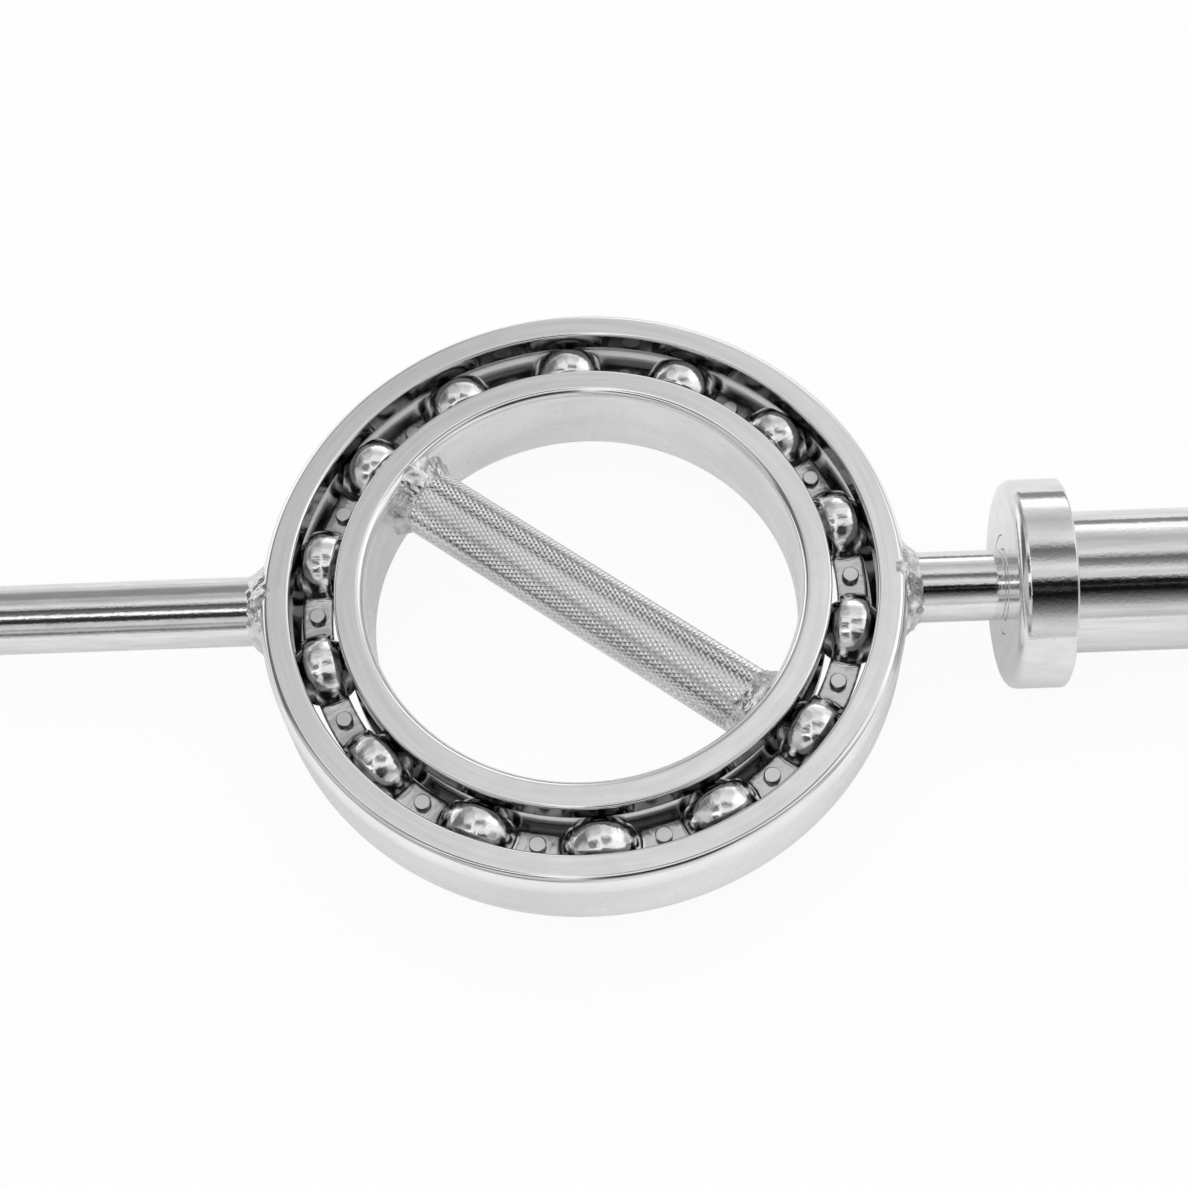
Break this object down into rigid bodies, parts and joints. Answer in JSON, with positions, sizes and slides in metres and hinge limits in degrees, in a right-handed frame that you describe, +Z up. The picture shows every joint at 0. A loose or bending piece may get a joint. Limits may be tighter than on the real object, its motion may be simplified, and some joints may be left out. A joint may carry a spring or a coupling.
{
  "type": "swiss bar",
  "caption": "Plate-loaded bar with a knurled handle welded across the inner ring of an open ball bearing on each side, so the grips turn freely between collars and turning sleeves.",
  "frame": {"origin": "middle of the bar, on the axis of its shaft", "axes": "+X along the bar to its right end, +Y to the back, +Z up along the axes of the two ring bearings"},
  "size_m": [1.536, 0.2272, 0.0738],
  "materials": {
    "ring_steel": "ground and polished bearing steel",
    "ball_steel": "mirror-polished steel",
    "cage_steel": "pressed steel strip, satin",
    "shaft_chrome": "bright chrome plate",
    "knurled_chrome": "chrome plate over fine diamond knurl",
    "sleeve_chrome": "chrome plate with faint turning marks",
    "collar_chrome": "polished chrome plate",
    "bush_steel": "machined steel",
    "bush_bronze": "oil-soaked sintered bronze",
    "washer_steel": "ground steel",
    "spring_steel": "oiled spring steel",
    "cap_chrome": "polished chrome plate"
  },
  "bodies": {
    "bar_frame": {"centre_shaft": "shaft_chrome", "right_bearing_outer_ring": "ring_steel", "right_spindle": "shaft_chrome", "right_inner_thrust_washer": "washer_steel", "right_outer_thrust_washer": "washer_steel", "right_retaining_ring": "spring_steel", "left_bearing_outer_ring": "ring_steel", "left_spindle": "shaft_chrome", "left_inner_thrust_washer": "washer_steel", "left_outer_thrust_washer": "washer_steel", "left_retaining_ring": "spring_steel"},
    "right_grip": {"right_bearing_inner_ring": "ring_steel", "right_handle": "knurled_chrome"},
    "right_ball_train": {"right_cage_upper": "cage_steel", "right_cage_lower": "cage_steel"},
    "right_turning_sleeve": {"right_sleeve": "sleeve_chrome", "right_sleeve_collar": "collar_chrome", "right_collar_bush": "bush_steel", "right_end_bush": "bush_bronze", "right_end_cap": "cap_chrome"},
    "right_rolling_ball_01": {"right_ball_01": "ball_steel"},
    "right_rolling_ball_02": {"right_ball_02": "ball_steel"},
    "right_rolling_ball_03": {"right_ball_03": "ball_steel"},
    "right_rolling_ball_04": {"right_ball_04": "ball_steel"},
    "right_rolling_ball_05": {"right_ball_05": "ball_steel"},
    "right_rolling_ball_06": {"right_ball_06": "ball_steel"},
    "right_rolling_ball_07": {"right_ball_07": "ball_steel"},
    "right_rolling_ball_08": {"right_ball_08": "ball_steel"},
    "right_rolling_ball_09": {"right_ball_09": "ball_steel"},
    "right_rolling_ball_10": {"right_ball_10": "ball_steel"},
    "right_rolling_ball_11": {"right_ball_11": "ball_steel"},
    "right_rolling_ball_12": {"right_ball_12": "ball_steel"},
    "right_rolling_ball_13": {"right_ball_13": "ball_steel"},
    "right_rolling_ball_14": {"right_ball_14": "ball_steel"},
    "left_grip": {"left_bearing_inner_ring": "ring_steel", "left_handle": "knurled_chrome"},
    "left_ball_train": {"left_cage_upper": "cage_steel", "left_cage_lower": "cage_steel"},
    "left_turning_sleeve": {"left_sleeve": "sleeve_chrome", "left_sleeve_collar": "collar_chrome", "left_collar_bush": "bush_steel", "left_end_bush": "bush_bronze", "left_end_cap": "cap_chrome"},
    "left_rolling_ball_01": {"left_ball_01": "ball_steel"},
    "left_rolling_ball_02": {"left_ball_02": "ball_steel"},
    "left_rolling_ball_03": {"left_ball_03": "ball_steel"},
    "left_rolling_ball_04": {"left_ball_04": "ball_steel"},
    "left_rolling_ball_05": {"left_ball_05": "ball_steel"},
    "left_rolling_ball_06": {"left_ball_06": "ball_steel"},
    "left_rolling_ball_07": {"left_ball_07": "ball_steel"},
    "left_rolling_ball_08": {"left_ball_08": "ball_steel"},
    "left_rolling_ball_09": {"left_ball_09": "ball_steel"},
    "left_rolling_ball_10": {"left_ball_10": "ball_steel"},
    "left_rolling_ball_11": {"left_ball_11": "ball_steel"},
    "left_rolling_ball_12": {"left_ball_12": "ball_steel"},
    "left_rolling_ball_13": {"left_ball_13": "ball_steel"},
    "left_rolling_ball_14": {"left_ball_14": "ball_steel"}
  },
  "joints": [
    {"name": "right_grip_spin", "type": "hinge", "parent": "bar_frame", "child": "right_grip", "pos_m": [0.28, 0, 0], "axis": [0, 0, 1], "continuous": true},
    {"name": "right_ball_train_spin", "type": "hinge", "parent": "bar_frame", "child": "right_ball_train", "pos_m": [0.28, 0, 0], "axis": [0, 0, 1], "continuous": true},
    {"name": "right_sleeve_spin", "type": "hinge", "parent": "bar_frame", "child": "right_turning_sleeve", "pos_m": [0.45, 0, 0], "axis": [1, 0, 0], "continuous": true},
    {"name": "right_ball_01_roll", "type": "hinge", "parent": "right_ball_train", "child": "right_rolling_ball_01", "pos_m": [0.3715, 0.02556, 0], "axis": [0, 0, 1], "continuous": true},
    {"name": "right_ball_02_roll", "type": "hinge", "parent": "right_ball_train", "child": "right_rolling_ball_02", "pos_m": [0.35135, 0.06273, 0], "axis": [0, 0, 1], "continuous": true},
    {"name": "right_ball_03_roll", "type": "hinge", "parent": "right_ball_train", "child": "right_rolling_ball_03", "pos_m": [0.31706, 0.08747, 0], "axis": [0, 0, 1], "continuous": true},
    {"name": "right_ball_04_roll", "type": "hinge", "parent": "right_ball_train", "child": "right_rolling_ball_04", "pos_m": [0.27544, 0.09489, 0], "axis": [0, 0, 1], "continuous": true},
    {"name": "right_ball_05_roll", "type": "hinge", "parent": "right_ball_train", "child": "right_rolling_ball_05", "pos_m": [0.23472, 0.08352, 0], "axis": [0, 0, 1], "continuous": true},
    {"name": "right_ball_06_roll", "type": "hinge", "parent": "right_ball_train", "child": "right_rolling_ball_06", "pos_m": [0.20297, 0.0556, 0], "axis": [0, 0, 1], "continuous": true},
    {"name": "right_ball_07_roll", "type": "hinge", "parent": "right_ball_train", "child": "right_rolling_ball_07", "pos_m": [0.18647, 0.01667, 0], "axis": [0, 0, 1], "continuous": true},
    {"name": "right_ball_08_roll", "type": "hinge", "parent": "right_ball_train", "child": "right_rolling_ball_08", "pos_m": [0.1885, -0.02556, 0], "axis": [0, 0, 1], "continuous": true},
    {"name": "right_ball_09_roll", "type": "hinge", "parent": "right_ball_train", "child": "right_rolling_ball_09", "pos_m": [0.20865, -0.06273, 0], "axis": [0, 0, 1], "continuous": true},
    {"name": "right_ball_10_roll", "type": "hinge", "parent": "right_ball_train", "child": "right_rolling_ball_10", "pos_m": [0.24294, -0.08747, 0], "axis": [0, 0, 1], "continuous": true},
    {"name": "right_ball_11_roll", "type": "hinge", "parent": "right_ball_train", "child": "right_rolling_ball_11", "pos_m": [0.28456, -0.09489, 0], "axis": [0, 0, 1], "continuous": true},
    {"name": "right_ball_12_roll", "type": "hinge", "parent": "right_ball_train", "child": "right_rolling_ball_12", "pos_m": [0.32528, -0.08352, 0], "axis": [0, 0, 1], "continuous": true},
    {"name": "right_ball_13_roll", "type": "hinge", "parent": "right_ball_train", "child": "right_rolling_ball_13", "pos_m": [0.35703, -0.0556, 0], "axis": [0, 0, 1], "continuous": true},
    {"name": "right_ball_14_roll", "type": "hinge", "parent": "right_ball_train", "child": "right_rolling_ball_14", "pos_m": [0.37353, -0.01667, 0], "axis": [0, 0, 1], "continuous": true},
    {"name": "left_grip_spin", "type": "hinge", "parent": "bar_frame", "child": "left_grip", "pos_m": [-0.28, 0, 0], "axis": [0, 0, 1], "continuous": true},
    {"name": "left_ball_train_spin", "type": "hinge", "parent": "bar_frame", "child": "left_ball_train", "pos_m": [-0.28, 0, 0], "axis": [0, 0, 1], "continuous": true},
    {"name": "left_sleeve_spin", "type": "hinge", "parent": "bar_frame", "child": "left_turning_sleeve", "pos_m": [-0.45, 0, 0], "axis": [1, 0, 0], "continuous": true},
    {"name": "left_ball_01_roll", "type": "hinge", "parent": "left_ball_train", "child": "left_rolling_ball_01", "pos_m": [-0.37353, -0.01667, 0], "axis": [0, 0, 1], "continuous": true},
    {"name": "left_ball_02_roll", "type": "hinge", "parent": "left_ball_train", "child": "left_rolling_ball_02", "pos_m": [-0.35703, -0.0556, 0], "axis": [0, 0, 1], "continuous": true},
    {"name": "left_ball_03_roll", "type": "hinge", "parent": "left_ball_train", "child": "left_rolling_ball_03", "pos_m": [-0.32528, -0.08352, 0], "axis": [0, 0, 1], "continuous": true},
    {"name": "left_ball_04_roll", "type": "hinge", "parent": "left_ball_train", "child": "left_rolling_ball_04", "pos_m": [-0.28456, -0.09489, 0], "axis": [0, 0, 1], "continuous": true},
    {"name": "left_ball_05_roll", "type": "hinge", "parent": "left_ball_train", "child": "left_rolling_ball_05", "pos_m": [-0.24294, -0.08747, 0], "axis": [0, 0, 1], "continuous": true},
    {"name": "left_ball_06_roll", "type": "hinge", "parent": "left_ball_train", "child": "left_rolling_ball_06", "pos_m": [-0.20865, -0.06273, 0], "axis": [0, 0, 1], "continuous": true},
    {"name": "left_ball_07_roll", "type": "hinge", "parent": "left_ball_train", "child": "left_rolling_ball_07", "pos_m": [-0.1885, -0.02556, 0], "axis": [0, 0, 1], "continuous": true},
    {"name": "left_ball_08_roll", "type": "hinge", "parent": "left_ball_train", "child": "left_rolling_ball_08", "pos_m": [-0.18647, 0.01667, 0], "axis": [0, 0, 1], "continuous": true},
    {"name": "left_ball_09_roll", "type": "hinge", "parent": "left_ball_train", "child": "left_rolling_ball_09", "pos_m": [-0.20297, 0.0556, 0], "axis": [0, 0, 1], "continuous": true},
    {"name": "left_ball_10_roll", "type": "hinge", "parent": "left_ball_train", "child": "left_rolling_ball_10", "pos_m": [-0.23472, 0.08352, 0], "axis": [0, 0, 1], "continuous": true},
    {"name": "left_ball_11_roll", "type": "hinge", "parent": "left_ball_train", "child": "left_rolling_ball_11", "pos_m": [-0.27544, 0.09489, 0], "axis": [0, 0, 1], "continuous": true},
    {"name": "left_ball_12_roll", "type": "hinge", "parent": "left_ball_train", "child": "left_rolling_ball_12", "pos_m": [-0.31706, 0.08747, 0], "axis": [0, 0, 1], "continuous": true},
    {"name": "left_ball_13_roll", "type": "hinge", "parent": "left_ball_train", "child": "left_rolling_ball_13", "pos_m": [-0.35135, 0.06273, 0], "axis": [0, 0, 1], "continuous": true},
    {"name": "left_ball_14_roll", "type": "hinge", "parent": "left_ball_train", "child": "left_rolling_ball_14", "pos_m": [-0.3715, 0.02556, 0], "axis": [0, 0, 1], "continuous": true}
  ],
  "couplings": [
    {"joint": "right_ball_train_spin", "follows": "right_grip_spin", "ratio": 0.43737},
    {"joint": "right_ball_01_roll", "follows": "right_grip_spin", "ratio": -3.929},
    {"joint": "right_ball_02_roll", "follows": "right_grip_spin", "ratio": -3.929},
    {"joint": "right_ball_03_roll", "follows": "right_grip_spin", "ratio": -3.929},
    {"joint": "right_ball_04_roll", "follows": "right_grip_spin", "ratio": -3.929},
    {"joint": "right_ball_05_roll", "follows": "right_grip_spin", "ratio": -3.929},
    {"joint": "right_ball_06_roll", "follows": "right_grip_spin", "ratio": -3.929},
    {"joint": "right_ball_07_roll", "follows": "right_grip_spin", "ratio": -3.929},
    {"joint": "right_ball_08_roll", "follows": "right_grip_spin", "ratio": -3.929},
    {"joint": "right_ball_09_roll", "follows": "right_grip_spin", "ratio": -3.929},
    {"joint": "right_ball_10_roll", "follows": "right_grip_spin", "ratio": -3.929},
    {"joint": "right_ball_11_roll", "follows": "right_grip_spin", "ratio": -3.929},
    {"joint": "right_ball_12_roll", "follows": "right_grip_spin", "ratio": -3.929},
    {"joint": "right_ball_13_roll", "follows": "right_grip_spin", "ratio": -3.929},
    {"joint": "right_ball_14_roll", "follows": "right_grip_spin", "ratio": -3.929},
    {"joint": "left_ball_train_spin", "follows": "left_grip_spin", "ratio": 0.43737},
    {"joint": "left_ball_01_roll", "follows": "left_grip_spin", "ratio": -3.929},
    {"joint": "left_ball_02_roll", "follows": "left_grip_spin", "ratio": -3.929},
    {"joint": "left_ball_03_roll", "follows": "left_grip_spin", "ratio": -3.929},
    {"joint": "left_ball_04_roll", "follows": "left_grip_spin", "ratio": -3.929},
    {"joint": "left_ball_05_roll", "follows": "left_grip_spin", "ratio": -3.929},
    {"joint": "left_ball_06_roll", "follows": "left_grip_spin", "ratio": -3.929},
    {"joint": "left_ball_07_roll", "follows": "left_grip_spin", "ratio": -3.929},
    {"joint": "left_ball_08_roll", "follows": "left_grip_spin", "ratio": -3.929},
    {"joint": "left_ball_09_roll", "follows": "left_grip_spin", "ratio": -3.929},
    {"joint": "left_ball_10_roll", "follows": "left_grip_spin", "ratio": -3.929},
    {"joint": "left_ball_11_roll", "follows": "left_grip_spin", "ratio": -3.929},
    {"joint": "left_ball_12_roll", "follows": "left_grip_spin", "ratio": -3.929},
    {"joint": "left_ball_13_roll", "follows": "left_grip_spin", "ratio": -3.929},
    {"joint": "left_ball_14_roll", "follows": "left_grip_spin", "ratio": -3.929}
  ]
}
